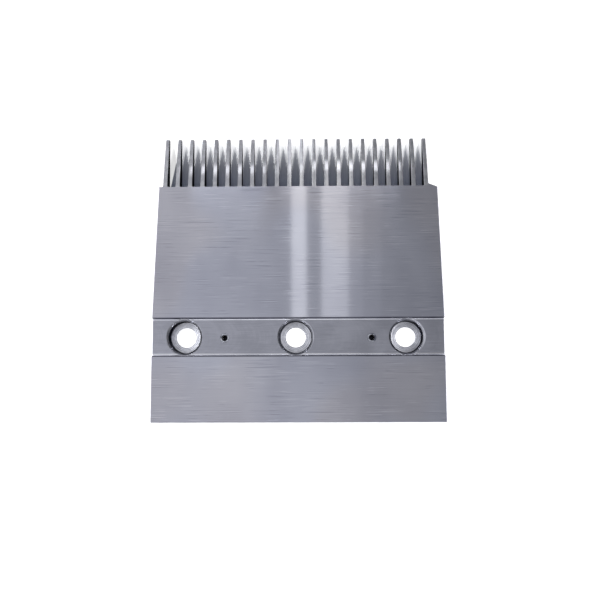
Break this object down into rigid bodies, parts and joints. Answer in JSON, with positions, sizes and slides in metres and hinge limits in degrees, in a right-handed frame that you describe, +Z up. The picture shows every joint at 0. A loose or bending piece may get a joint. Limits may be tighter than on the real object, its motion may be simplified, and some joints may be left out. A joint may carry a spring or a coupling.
{
  "type": "escalator comb plate",
  "caption": "Flat light-alloy comb plate with a ramp down to a row of slim teeth, a sunk channel with counterbored screw holes and two small threaded inserts.",
  "frame": {"origin": "on the axis of the centre screw hole, in the base plane that the plate rests on", "axes": "+X across the width, to the side with the plain strip beside the last tooth; +Y towards the tooth tips; +Z up, out of the tread face"},
  "size_m": [0.2029, 0.2076, 0.026],
  "materials": {
    "brushed_aluminium": "brushed across the width, machined in the channel and the holes",
    "insert_steel": "plain machined steel"
  },
  "bodies": {
    "root": {"comb_plate": "brushed_aluminium", "thread_insert_left": "insert_steel", "thread_insert_right": "insert_steel"}
  },
  "joints": []
}
